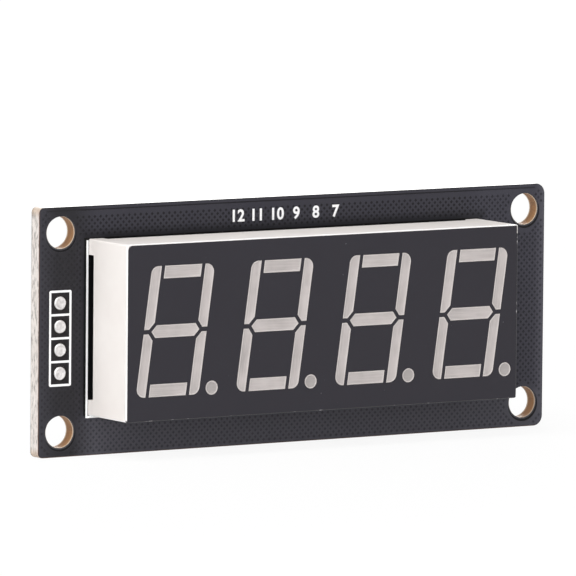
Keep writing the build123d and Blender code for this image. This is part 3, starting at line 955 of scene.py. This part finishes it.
class PourTree(ReliefTree):
    """Outlines filled as a thin skin that a slanted grid of square openings pierces."""

    NAME = "hatched_pour"
    OWN = (
        ("Pitch", "NodeSocketFloat"),
        ("Opening", "NodeSocketFloat"),
        ("Margin", "NodeSocketFloat"),
        ("Rows", "NodeSocketInt"),
    )
    WELD = 1e-7

    def grow(self, given: bpy.types.NodeOutputs) -> bpy.types.NodeSocket:
        """Fills the outlines round the openings and thickens the sheet.

        Args:
            given: the tree's own inputs.

        Returns:
            The skin, lying flat.
        """
        drawn = add(
            self.tree, "GeometryNodeJoinGeometry", {0: [given["Geometry"], self.openings(given)]}
        ).outputs[0]
        sheet = add(self.tree, "GeometryNodeFillCurve", {0: drawn}, mode="TRIANGLES").outputs[0]
        raised = add(
            self.tree, "GeometryNodeExtrudeMesh",
            {"Mesh": sheet, "Offset Scale": given["Thickness"], "Individual": False},
        ).outputs["Mesh"]
        under = add(self.tree, "GeometryNodeFlipFaces", {0: sheet}).outputs[0]
        both = add(self.tree, "GeometryNodeJoinGeometry", {0: [raised, under]}).outputs[0]
        return add(
            self.tree, "GeometryNodeMergeByDistance", {"Geometry": both, "Distance": self.WELD}
        ).outputs[0]

    def openings(self, given: bpy.types.NodeOutputs) -> bpy.types.NodeSocket:
        """Sets square openings on a slanted grid, inside the outlines and clear of their edges.

        Args:
            given: the tree's own inputs.

        Returns:
            The openings, as closed curves.
        """
        tree = self.tree
        gaps = add(tree, "ShaderNodeMath", {0: given["Rows"], 1: 1.0}, operation="SUBTRACT").outputs[0]
        reach = add(tree, "ShaderNodeMath", {0: gaps, 1: given["Pitch"]}, operation="MULTIPLY").outputs[0]
        grid = add(
            tree, "GeometryNodeMeshGrid", {0: reach, 1: reach, 2: given["Rows"], 3: given["Rows"]}
        ).outputs[0]
        slant = (0.0, 0.0, math.pi / 4)
        grid = add(tree, "GeometryNodeTransform", {"Geometry": grid, "Rotation": slant}).outputs[0]
        sheet = add(tree, "GeometryNodeFillCurve", {0: given["Geometry"]}, mode="TRIANGLES").outputs[0]
        edges = add(tree, "GeometryNodeCurveToMesh", {0: given["Geometry"]}).outputs[0]
        here = add(tree, "GeometryNodeInputPosition").outputs[0]
        above = add(tree, "ShaderNodeVectorMath", {0: here, 1: (0, 0, MM)}).outputs[0]
        inside = add(
            tree,
            "GeometryNodeRaycast",
            {"Target Geometry": sheet, "Source Position": above, "Ray Length": 2 * MM},
        ).outputs["Is Hit"]
        clear = add(tree, "GeometryNodeProximity", {0: edges}, target_element="EDGES").outputs["Distance"]
        clear = add(
            tree, "ShaderNodeMath", {0: clear, 1: given["Margin"]}, operation="GREATER_THAN"
        ).outputs[0]
        kept = add(tree, "FunctionNodeBooleanMath", {0: inside, 1: clear}, operation="AND").outputs[0]
        square = add(
            tree, "GeometryNodeCurvePrimitiveQuadrilateral", {0: given["Opening"], 1: given["Opening"]}
        ).outputs[0]
        laid = add(
            tree, "GeometryNodeInstanceOnPoints",
            {"Points": grid, "Selection": kept, "Instance": square, "Rotation": slant},
        ).outputs[0]
        return add(tree, "GeometryNodeRealizeInstances", {0: laid}).outputs[0]


class TrackTree(ReliefTree):
    """Routes swept as flat strips with rounded bends."""

    NAME = "copper_tracks"
    OWN = (("Width", "NodeSocketFloat"), ("Bend", "NodeSocketFloat"))
    BEND_STEPS = 4

    def grow(self, given: bpy.types.NodeOutputs) -> bpy.types.NodeSocket:
        """Rounds the routes' bends and sweeps a thin section along them.

        Args:
            given: the tree's own inputs.

        Returns:
            The strips, lying flat.
        """
        bends = {"Radius": given["Bend"], "Count": self.BEND_STEPS, "Limit Radius": True}
        bent = add(
            self.tree, "GeometryNodeFilletCurve", {"Curve": given["Geometry"], **bends}, mode="POLY"
        ).outputs[0]
        level = add(self.tree, "GeometryNodeSetCurveNormal", {0: bent}, mode="Z_UP").outputs[0]
        double = add(
            self.tree, "ShaderNodeMath", {0: given["Thickness"], 1: 2.0}, operation="MULTIPLY"
        ).outputs[0]
        section = add(
            self.tree, "GeometryNodeCurvePrimitiveQuadrilateral", {0: given["Width"], 1: double}
        ).outputs[0]
        return add(
            self.tree,
            "GeometryNodeCurveToMesh",
            {"Curve": level, "Profile Curve": section, "Fill Caps": True},
        ).outputs[0]


class ViaTree(ReliefTree):
    """A low round bump at every point of the lines, where the mask tents a plated hole."""

    NAME = "tented_vias"
    OWN = (("Radius", "NodeSocketFloat"),)
    CROWN_SHARE = 0.7
    SIDES = 14

    def grow(self, given: bpy.types.NodeOutputs) -> bpy.types.NodeSocket:
        """Sets a flat-topped cone on each point.

        Args:
            given: the tree's own inputs.

        Returns:
            The bumps, lying flat.
        """
        crown = add(
            self.tree, "ShaderNodeMath", {0: given["Radius"], 1: self.CROWN_SHARE}, operation="MULTIPLY"
        ).outputs[0]
        radii = {"Radius Top": crown, "Radius Bottom": given["Radius"]}
        bump = add(
            self.tree, "GeometryNodeMeshCone", {"Vertices": self.SIDES, **radii, "Depth": given["Thickness"]}
        ).outputs["Mesh"]
        points = add(
            self.tree, "GeometryNodeCurveToPoints", {0: given["Geometry"]}, mode="EVALUATED"
        ).outputs[0]
        return add(
            self.tree, "GeometryNodeInstanceOnPoints", {"Points": points, "Instance": bump}
        ).outputs[0]


@dataclass
class DriverBoard:
    """The black board: its laminate, masks, copper relief, printed lines and pin numbers."""

    hatch_pitch: float = 0.514
    hatch_opening: float = 0.275
    hatch_margin: float = 0.34
    hatch_rows: int = 190
    copper_rise: float = 0.02
    edge_track_width: float = 0.26
    edge_gap: float = 0.15
    edge_gap_ends: Point = (0.9, 1.3)
    pad_cell: float = 2.34
    pad_pitch: float = 2.54
    pad_count: int = 4
    pad_end_radius: float = 0.6
    far_end_radius: float = 1.15
    back_clearance: float = 1.1
    back_way_half: float = 2.4
    back_hole_keep_out: float = 2.4
    back_edge_inset: float = 0.3
    number_height: float = 1.25
    number_height_share: float = 0.69
    number_bold: float = 0.05
    number_half_rise: float = 0.006
    number_spacing: float = 1.05
    number_curve_steps: int = 4
    number_pitch: float = 2.54
    number_base: float = 11.05
    number_first: int = 12
    number_count: int = 6

    def build(self) -> None:
        """Dresses the CAD board and adds what lies on it."""
        for node, finish in (
            ("circuit_board", Finishes.LAMINATE),
            ("front_solder_mask", Finishes.MASK),
            ("back_solder_mask", Finishes.BACK_MASK),
            ("silkscreen_lines", Finishes.INK),
        ):
            dress(node, finish)
        hatch = {
            "Pitch": self.hatch_pitch * MM,
            "Opening": self.hatch_opening * MM,
            "Margin": self.hatch_margin * MM,
            "Rows": self.hatch_rows,
            "Thickness": self.copper_rise * MM,
        }
        pour = PourTree()
        for name, outlines, side, finish in (
            ("front_hatched_pour", self.pour_outlines(), Side.FRONT, Finishes.COPPER_MASK),
            ("back_hatched_pour", self.back_pour_outlines(), Side.BACK, Finishes.BACK_COPPER_MASK),
        ):
            keep(name, pour.run(name, outlines, side, finish, **hatch))
        keep("pin_numbers", self.numbers())

    def border(self, by: float) -> Loop:
        """The board's outline moved inwards."""
        return rounded(
            BOARD.left + by, BOARD.right - by, BOARD.low + by, BOARD.high - by,
            self.pad_end_radius - by, self.far_end_radius - by,
        )

    def pour_outlines(self) -> list[Loop]:
        """The hatched area's edge, the gap that sets off a track at the top, and the places left free.

        Returns:
            The outer outline, then the cut-outs.
        """
        track = BOARD.high - EDGE_INSET - self.edge_track_width
        start, end = self.edge_gap_ends
        gap = sharp_box(BOARD.left + start, BOARD.right - end, track - self.edge_gap, track)
        display = sharp_box(BARE_LEFT, HOUSING.right, HOUSING.low, BARE_HIGH)
        holes = [circle(place, RING_RADIUS) for place in RINGS]
        half = self.pad_cell / 2
        pads = [sharp_box(x - half, x + half, z - half, z + half) for x, z in self.pad_places()]
        return [self.border(EDGE_INSET), gap, display, *holes, *pads]

    def back_pour_outlines(self) -> list[Loop]:
        """The back's hatched area, cut out where the parts and their tracks lie.

        Returns:
            The outer outline, then the cut-outs.
        """
        chip = Extent.of("driver_chip_leads")
        pins = Extent.of("display_pin_solder")
        small = Extent.of("capacitor_ends")
        clear = self.back_clearance
        left, right = pins.left - clear, chip.right + clear
        low, high = pins.low - clear / 2, pins.high + clear / 2
        small_left, small_right = PADS.left - clear / 2, small.right + clear
        small_low, small_high = PADS.low - clear / 2, small.high + clear
        way = self.back_way_half
        parts = [
            (small_left, small_low), (small_right, small_low), (small_right, -way), (left, -way),
            (left, low), (right, low), (right, high), (left, high),
            (left, way), (small_right, way), (small_right, small_high), (small_left, small_high),
        ]
        holes = [circle(place, self.back_hole_keep_out) for place in HOLES]
        return [self.border(self.back_edge_inset), parts, *holes]

    def pad_places(self) -> list[Point]:
        """Spaces the pads evenly about the middle of their solder.

        Returns:
            Their places, lowest first.
        """
        x = (PADS.left + PADS.right) / 2
        low = (PADS.low + PADS.high - (self.pad_count - 1) * self.pad_pitch) / 2
        return [(x, low + index * self.pad_pitch) for index in range(self.pad_count)]

    def numbers(self) -> bpy.types.Mesh:
        """Prints the upper pin row's plain numbers above the display.

        Returns:
            The print's mesh.
        """
        made = bmesh.new()
        middle = (HOUSING.left + HOUSING.right) / 2
        level = BOARD.front - self.copper_rise
        for index in range(self.number_count):
            text = bpy.data.curves.new("number", "FONT")
            text.body = str(self.number_first - index)
            text.align_x = "CENTER"
            text.size = self.number_height / self.number_height_share * MM
            text.offset = self.number_bold * MM
            text.extrude = self.number_half_rise * MM
            text.space_character = self.number_spacing
            text.resolution_u = self.number_curve_steps
            holder = bpy.data.objects.new("number", text)
            bpy.context.scene.collection.objects.link(holder)
            mesh = bpy.data.meshes.new_from_object(holder)
            bpy.data.objects.remove(holder)
            x = middle + (index - (self.number_count - 1) / 2) * self.number_pitch
            place = Matrix.Translation((x * MM, level * MM, self.number_base * MM))
            mesh.transform(place @ Matrix.Rotation(math.pi / 2, 4, "X"))
            made.from_mesh(mesh)
            bpy.data.meshes.remove(mesh)
        mesh = bpy.data.meshes.new("pin_numbers")
        made.to_mesh(mesh)
        made.free()
        mesh.materials.clear()
        mesh.materials.append(Finishes.INK.material())
        return mesh


# Display


@dataclass
class Light:
    """One segment or point: a bright moulded window edge round a slightly dished casting."""

    node: str
    along: Point
    resin: Finishes = Finishes.RESIN
    floor_share: float = 0.5
    gap: float = 0.035
    edge_width: float = 0.1
    edge_depth: float = 0.1
    bevel: float = 0.02
    step: float = 0.02
    dish: float = 0.05
    dish_shares: tuple[float, ...] = (0.3, 0.6, 0.85)
    map_shift: float = 7.3

    # The rows of faces, counted from the floor, that the window's edge takes up
    EDGE_ROWS = range(1, 5)
    # How far from the front a point may lie and still be on it, in metres
    FLAT = 1e-6

    def outline(self) -> Loop:
        """Reads the casting's front outline off its CAD mesh.

        Returns:
            Its points, anticlockwise as the viewer sees them.
        """
        mesh = frame["nodes"][self.node].data
        front = min(v.co.y for v in mesh.vertices)
        ends: dict[Point, Point] = {}
        used = set()
        for face in mesh.polygons:
            spots = [mesh.vertices[index].co for index in face.vertices]
            if all(abs(spot.y - front) < self.FLAT for spot in spots):
                flat = [(round(spot.x / MM, 4), round(spot.z / MM, 4)) for spot in spots]
                used.update(zip(flat, flat[1:] + flat[:1]))
        for start, end in used:
            if (end, start) not in used:
                ends[start] = end
        loop = [next(iter(sorted(ends)))]
        while ends[loop[-1]] != loop[0]:
            loop.append(ends[loop[-1]])
        area = sum(x1 * z2 - x2 * z1 for (x1, z1), (x2, z2) in zip(loop, loop[1:] + loop[:1]))
        return loop if area > 0 else loop[::-1]

    def build(self) -> None:
        """Makes the light from its front edge to its floor and puts it in the casting's place."""
        extent = Extent.of(self.node)
        outline = self.outline()
        middle = ((extent.left + extent.right) / 2, (extent.low + extent.high) / 2)
        floor = [tuple(m + (p - m) * self.floor_share for p, m in zip(point, middle)) for point in outline]
        wall = inset(outline, self.gap)
        edge = self.gap + self.edge_width
        brim = inset(outline, edge + self.bevel)
        rows = [
            (floor, extent.back),
            (wall, extent.front + self.edge_depth),
            (wall, extent.front + self.bevel),
            (inset(outline, self.gap + self.bevel), extent.front),
            (inset(outline, edge), extent.front),
            (brim, extent.front + self.step),
        ]
        for share in self.dish_shares:
            depth = extent.front + self.step + self.dish * math.sin(share * math.pi / 2)
            rows.append((self.drawn_in(brim, middle, share), depth))
        made = bmesh.new()
        map_along = made.loops.layers.uv.new("along")
        rings = [[made.verts.new((x * MM, y * MM, z * MM)) for x, z in loop] for loop, y in rows]
        for index, (lower, upper) in enumerate(zip(rings, rings[1:])):
            for spot in range(len(outline)):
                after = (spot + 1) % len(outline)
                face = made.faces.new((lower[spot], lower[after], upper[after], upper[spot]))
                face.material_index = 1 if index in self.EDGE_ROWS else 0
                face.smooth = index >= self.EDGE_ROWS.stop
        made.faces.new(rings[-1]).smooth = True
        made.faces.new(rings[0][::-1])
        bmesh.ops.recalc_face_normals(made, faces=made.faces)
        bmesh.ops.triangulate(made, faces=[face for face in made.faces if len(face.verts) > 4])
        self.lay_map(made, map_along, middle)
        mesh = bpy.data.meshes.new(self.node)
        made.to_mesh(mesh)
        made.free()
        mesh.materials.append(self.resin.material())
        mesh.materials.append(Finishes.WINDOW.material())
        piece = keep(f"{self.node}_lens", mesh)
        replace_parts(piece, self.node)

    def drawn_in(self, loop: Loop, middle: Point, share: float) -> Loop:
        """Draws an outline towards the line that runs along the light's middle.

        Args:
            loop: the outline.
            middle: the light's middle.
            share: how far towards the line each point goes.

        Returns:
            As many points, which never cross.
        """
        centre, along = Vector(middle), Vector(self.along).normalized()
        across = Vector((-along.y, along.x))
        reach = max(abs((Vector(point) - centre).dot(along)) for point in loop)
        half = max(abs((Vector(point) - centre).dot(across)) for point in loop)
        run = max(reach - half, 0.0)
        drawn = []
        for point in loop:
            spot = Vector(point)
            ahead = (spot - centre).dot(along)
            spine = centre + along * max(-run, min(run, ahead))
            drawn.append(tuple(spot.lerp(spine, share)))
        return drawn

    def lay_map(self, made: bmesh.types.BMesh, layer: Any, middle: Point) -> None:
        """Lays a map in millimetres whose first axis runs along the light.

        Args:
            made: the mesh.
            layer: its map.
            middle: the light's middle, which sets every light's lines apart.
        """
        along = Vector(self.along).normalized()
        across = Vector((-along.y, along.x))
        for face in made.faces:
            for corner in face.loops:
                spot = Vector((corner.vert.co.x, corner.vert.co.z)) / MM
                corner[layer].uv = (spot.dot(along) + self.map_shift * middle[0], spot.dot(across))


@dataclass
class Display:
    """The white housing with its film, lights, inner board and backing."""

    digits: int = 4
    slant_degrees: float = 8.0

    def build(self) -> None:
        """Dresses the CAD pieces and puts the lights in their windows."""
        for node, finish in (
            ("reflector_housing", Finishes.HOUSING),
            ("face_film", Finishes.FILM),
            ("led_dice", Finishes.DIE),
            ("carrier_board", Finishes.CARRIER),
            ("back_potting", Finishes.POTTING),
        ):
            dress(node, finish)
        lean = math.radians(self.slant_degrees)
        level, upright = (1.0, 0.0), (math.sin(lean), math.cos(lean))
        for digit in range(1, self.digits + 1):
            for letter in "abcdefg":
                Light(f"digit_{digit}_segment_{letter}", level if letter in "adg" else upright).build()
            Light(f"digit_{digit}_decimal_point", level, Finishes.POINT_RESIN).build()


@dataclass
class SolderWork:
    """Pins, their joints, the filled pads and the tinned lands."""

    turns: int = 36
    ripple: float = 0.02
    # Each wave round a plug: its height, its crests, and its turn from one plug to the next
    waves: tuple[tuple[float, int, float], ...] = ((1.0, 2, 1.7), (0.6, 5, 2.3))
    middle_rows: int = 3
    plug_ring_row: int = 8
    profile: tuple[Point, ...] = (
        (0.14, -1.632), (0.3, -1.628), (0.43, -1.636), (0.54, -1.668), (0.61, -1.68), (0.665, -1.665),
        (0.7, -1.62), (0.715, -1.57), (0.725, -1.545), (0.822, -1.545), (0.5, -1.521), (0.5, 0.001),
        (0.775, 0.002), (0.76, 0.07), (0.68, 0.16), (0.5, 0.26), (0.28, 0.33), (0.12, 0.35),
    )

    # The plugs' materials, in the order of their slots
    SLOTS = (Finishes.PAD_SOLDER, Finishes.PLUG_RING, Finishes.PAD_MIDDLE_PAINTED_SHADE)

    def build(self) -> None:
        """Dresses the CAD pieces and casts the pads' plugs."""
        dress("display_pins", Finishes.WIRE)
        for node in ("display_pin_solder", "solder_lands"):
            dress(node, Finishes.SOLDER)
        self.plugs(DriverBoard().pad_places())

    def plugs(self, places: list[Point]) -> None:
        """Fills the pads: a raised ring round a shallow, rippled top, and a dome behind.

        Args:
            places: the pads' middles.
        """
        made = bmesh.new()
        for index, (x, z) in enumerate(places):
            rings = []
            for reach, depth in self.profile:
                ring = []
                for turn in range(self.turns):
                    angle = 2 * math.pi * turn / self.turns
                    wave = sum(
                        height * math.sin(crests * angle + shift * index)
                        for height, crests, shift in self.waves
                    )
                    top = depth < BOARD.front
                    lift = self.ripple * wave * (1 - reach) / 2 if top else 0.0
                    far = reach * (1 + self.ripple * wave) if top else reach
                    spot = (x + far * math.cos(angle), depth + lift, z + far * math.sin(angle))
                    ring.append(made.verts.new(Vector(spot) * MM))
                rings.append(ring)
            for row, (lower, upper) in enumerate(zip(rings, rings[1:])):
                finish = Finishes.PAD_MIDDLE_PAINTED_SHADE if row < self.middle_rows else Finishes.PAD_SOLDER
                finish = Finishes.PLUG_RING if row == self.plug_ring_row else finish
                for turn in range(self.turns):
                    after = (turn + 1) % self.turns
                    face = made.faces.new((lower[turn], lower[after], upper[after], upper[turn]))
                    face.smooth = True
                    face.material_index = self.SLOTS.index(finish)
            crown = made.faces.new(rings[0])
            crown.smooth, crown.material_index = True, self.SLOTS.index(Finishes.PAD_MIDDLE_PAINTED_SHADE)
            made.faces.new(rings[-1][::-1]).smooth = True
        bmesh.ops.recalc_face_normals(made, faces=made.faces)
        bmesh.ops.triangulate(made, faces=[face for face in made.faces if len(face.verts) > 4])
        mesh = bpy.data.meshes.new("pad_solder_plugs")
        made.to_mesh(mesh)
        made.free()
        for finish in self.SLOTS:
            mesh.materials.append(finish.material())
        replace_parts(keep("pad_solder_plugs", mesh), "pad_solder")


@dataclass
class BackParts:
    """The driver chip and the small chip parts behind the board, and the copper that joins them."""

    rise: float = 0.025
    track_width: float = 0.24
    supply_width: float = 0.5
    bend: float = 0.3
    level_step: float = 0.36
    level_gap: float = 1.05
    lead_count: int = 10
    lead_pitch: float = 1.27
    lead_width: float = 0.4
    routed_pins: tuple[int, ...] = (0, 2, 4)
    pin_pitch: float = 2.54
    pin_radius: float = 0.25
    via_radius: float = 0.32
    stub: float = 0.75
    stub_share: float = 1.2
    chip: Extent = Extent.of("driver_chip_leads")
    pins: Extent = Extent.of("display_pins")
    resistors: Extent = Extent.of("resistor_ends")
    capacitors: Extent = Extent.of("capacitor_ends")

    def build(self) -> None:
        """Dresses the CAD pieces and lays the copper."""
        tracks = TrackTree()
        for name, routes, width in (
            ("back_tracks", self.pin_routes() + self.signal_routes() + self.stubs(), self.track_width),
            ("back_supply_tracks", self.supply_routes(), self.supply_width),
        ):
            sizes = {"Thickness": self.rise * MM, "Width": width * MM, "Bend": self.bend * MM}
            mesh = tracks.run(name, routes, Side.BACK, Finishes.BACK_COPPER_MASK, closed=False, **sizes)
            keep(name, mesh)
        ends = [[route[-1] for route in self.stubs()]]
        sizes = {"Thickness": 2 * self.rise * MM, "Radius": self.via_radius * MM}
        vias = ViaTree().run("back_vias", ends, Side.BACK, Finishes.BACK_COPPER_MASK, closed=False, **sizes)
        keep("back_vias", vias)
        dress("driver_chip", Finishes.CHIP)
        for node in ("driver_chip_leads", "capacitor_ends", "resistor_ends"):
            dress(node, Finishes.TIN)
        dress("capacitor_bodies", Finishes.CERAMIC)
        dress("resistor_bodies", Finishes.RESISTOR)

    def lead_x(self, index: int) -> float:
        """A lead's place along the chip."""
        return self.chip.left + self.lead_width / 2 + index * self.lead_pitch

    def pin_x(self, index: int) -> float:
        """A pin's place along its row."""
        return self.pins.left + self.pin_radius + index * self.pin_pitch

    def rows(self) -> list[tuple[float, float, float]]:
        """The upper and the lower row: the leads' tips, the pins' line, and the way from one to the other."""
        return [
            (self.chip.high, self.pins.high - self.pin_radius, 1.0),
            (self.chip.low, self.pins.low + self.pin_radius, -1.0),
        ]

    def pin_routes(self) -> list[Loop]:
        """Tracks from the chip's leads to the pins, nested so that none crosses another.

        Returns:
            A route for each pin that is reached on this side.
        """
        routes = []
        for tip, line, way in self.rows():
            for index, pin in enumerate(self.routed_pins):
                level = line - way * (self.level_gap + (len(self.routed_pins) - 1 - index) * self.level_step)
                lead, pin = self.lead_x(index), self.pin_x(pin)
                routes.append([(lead, tip), (lead, level), (pin, level), (pin, line)])
        return routes

    def signal_routes(self) -> list[Loop]:
        """Tracks from the two middle pads through the resistors and on under the chip.

        Returns:
            Four routes.
        """
        routes = []
        pads = DriverBoard().pad_places()[1:3]
        heights = (self.resistors.low, self.resistors.high)
        for (x, z), height, way in zip(pads, heights, (1.0, -1.0)):
            level = height + way * self.lead_width
            bend = self.resistors.left - 2 * self.stub
            end = self.resistors.left + self.stub / 2
            routes.append([(x, z), (bend - abs(level - z), z), (bend, level), (end, level)])
            start = self.resistors.right - self.stub / 2
            inner = level - way * self.stub
            routes.append([
                (start, level),
                (start + self.stub, level),
                (start + 2 * self.stub, inner),
                (self.chip.left + self.stub, inner),
            ])
        return routes

    def supply_routes(self) -> list[Loop]:
        """The wide track from the supply pad to the upper capacitor.

        Returns:
            Its one route.
        """
        x, z = DriverBoard().pad_places()[-1]
        height = self.capacitors.high - self.lead_width
        bend = x + 2 * self.pin_pitch
        end = self.capacitors.left + self.stub / 2
        return [[(x, z), (bend, z), (bend + abs(height - z), height), (end, height)]]

    def stubs(self) -> list[Loop]:
        """Short tracks that end in vias, from the chip's other leads and the lower capacitors.

        Returns:
            A route for each.
        """
        routes = []
        for tip, _, way in self.rows():
            for index in range(len(self.routed_pins), self.lead_count):
                lead = self.lead_x(index)
                far = self.stub * (self.stub_share + index % 2)
                routes.append([(lead, tip), (lead, tip + way * far)])
        middle = (self.capacitors.low + self.capacitors.high) / 2
        for height in (middle, self.capacitors.low + self.lead_width):
            start = self.capacitors.left
            routes.append([(start, height), (start - 2 * self.stub, height)])
        return routes


# Studio


@dataclass(frozen=True)
class Lamp:
    """A square soft light that looks at the object."""

    name: str
    place: tuple[float, float, float]
    size: float
    watts: float

    def build(self) -> None:
        """Hangs the light."""
        light = bpy.data.lights.new(self.name, "AREA")
        light.size = self.size
        light.energy = self.watts
        holder = bpy.data.objects.new(self.name, light)
        holder.location = self.place
        holder.rotation_mode = "QUATERNION"
        holder.rotation_quaternion = (-Vector(self.place)).to_track_quat("-Z", "Y")
        bpy.context.scene.collection.objects.link(holder)


@dataclass
class Studio:
    """A pale floor, soft lamps, a white world and the photograph's camera."""

    camera_place: tuple[float, float, float] = (-0.535589, -0.836172, 0.104119)
    camera_turn: tuple[float, float, float, float] = (0.7129714, 0.642591, -0.1911544, -0.2054474)
    camera_lens: float = 569.023
    camera_sensor: float = 36.0
    camera_clip: Span = (0.01, 50.0)
    white: str = "#FFFFFF"
    world_level: float = 0.46
    floor_colour: str = "#F4F4F4"
    floor_roughness: float = 0.9
    floor_specular: float = 0.1
    floor_reach: float = 6.0
    floor_cells: int = 8
    floor_drop: float = 0.00002
    floor_shown_white: float = 0.9
    lamps: tuple[Lamp, ...] = (
        Lamp("key_from_upper_left", (-0.45, -0.2, 0.8), 0.7, 6.7),
        Lamp("fill_from_the_front", (-0.7, -0.9, 0.2), 0.36, 3.8),
        Lamp("fill_from_behind", (0.6, 0.9, 0.25), 0.4, 5.0),
    )

    def build(self) -> None:
        """Sets the stage."""
        self.camera()
        self.world()
        self.floor()
        for lamp in self.lamps:
            lamp.build()
        bpy.context.scene.view_settings.view_transform = "Standard"

    def camera(self) -> None:
        """Stands the camera where the photograph was taken from."""
        data = bpy.data.cameras.new("camera")
        data.lens = self.camera_lens
        data.sensor_width = self.camera_sensor
        data.clip_start, data.clip_end = self.camera_clip
        holder = bpy.data.objects.new("camera", data)
        holder.rotation_mode = "QUATERNION"
        holder.location = self.camera_place
        holder.rotation_quaternion = Quaternion(self.camera_turn)
        bpy.context.scene.collection.objects.link(holder)
        bpy.context.scene.camera = holder

    @staticmethod
    def seen(tree: bpy.types.NodeTree) -> bpy.types.NodeSocket:
        """One where the camera, a reflection or clear material sees a surface, and zero for its light.

        Args:
            tree: the material's or the world's node tree.

        Returns:
            The factor's output.
        """
        path = add(tree, "ShaderNodeLightPath").outputs
        some = add(
            tree, "ShaderNodeMath", {0: path["Is Camera Ray"], 1: path["Is Glossy Ray"]}, operation="MAXIMUM"
        ).outputs[0]
        return add(
            tree, "ShaderNodeMath", {0: some, 1: path["Is Transmission Ray"]}, operation="MAXIMUM"
        ).outputs[0]

    def world(self) -> None:
        """Makes a white surround that lights the object softly."""
        world = bpy.data.worlds.new("studio")
        world.use_nodes = True
        tree = world.node_tree
        level = add(tree, "ShaderNodeMapRange", {0: self.seen(tree), 3: self.world_level, 4: 1.0}).outputs[0]
        tree.links.new(level, tree.nodes["Background"].inputs["Strength"])
        tree.nodes["Background"].inputs["Color"].default_value = linear(self.white)
        bpy.context.scene.world = world

    def floor(self) -> None:
        """Lays the floor under the board's lower edge; it shows white but keeps the shadow."""
        made = bmesh.new()
        cells = self.floor_cells
        bmesh.ops.create_grid(made, x_segments=cells, y_segments=cells, size=self.floor_reach)
        bmesh.ops.translate(made, verts=made.verts, vec=(0, 0, cad_box[0].z - self.floor_drop))
        mesh = bpy.data.meshes.new("floor")
        made.to_mesh(mesh)
        made.free()
        material = bpy.data.materials.new("pale_floor")
        material.use_nodes = True
        tree = material.node_tree
        shader = tree.nodes["Principled BSDF"]
        shader.inputs["Base Color"].default_value = linear(self.floor_colour)
        shader.inputs["Roughness"].default_value = self.floor_roughness
        shader.inputs["Specular IOR Level"].default_value = self.floor_specular
        white = add(tree, "ShaderNodeEmission", {"Color": linear(self.white), "Strength": 1.0}).outputs[0]
        share = add(
            tree, "ShaderNodeMath", {0: self.seen(tree), 1: self.floor_shown_white}, operation="MULTIPLY"
        ).outputs[0]
        mixed = add(tree, "ShaderNodeMixShader", {0: share, 1: shader.outputs[0], 2: white}).outputs[0]
        tree.links.new(mixed, tree.nodes["Material Output"].inputs["Surface"])
        mesh.materials.append(material)
        floor = bpy.data.objects.new("floor", mesh)
        bpy.context.scene.collection.objects.link(floor)


def main() -> None:
    """Builds every sub-assembly in order."""
    logging.basicConfig(level=logging.INFO, format="%(name)s: %(message)s")
    for assembly in (DriverBoard(), Display(), SolderWork(), BackParts(), Studio()):
        assembly.build()
        log.info("finished %s", type(assembly).__name__)


if __name__ == "__main__":
    main()
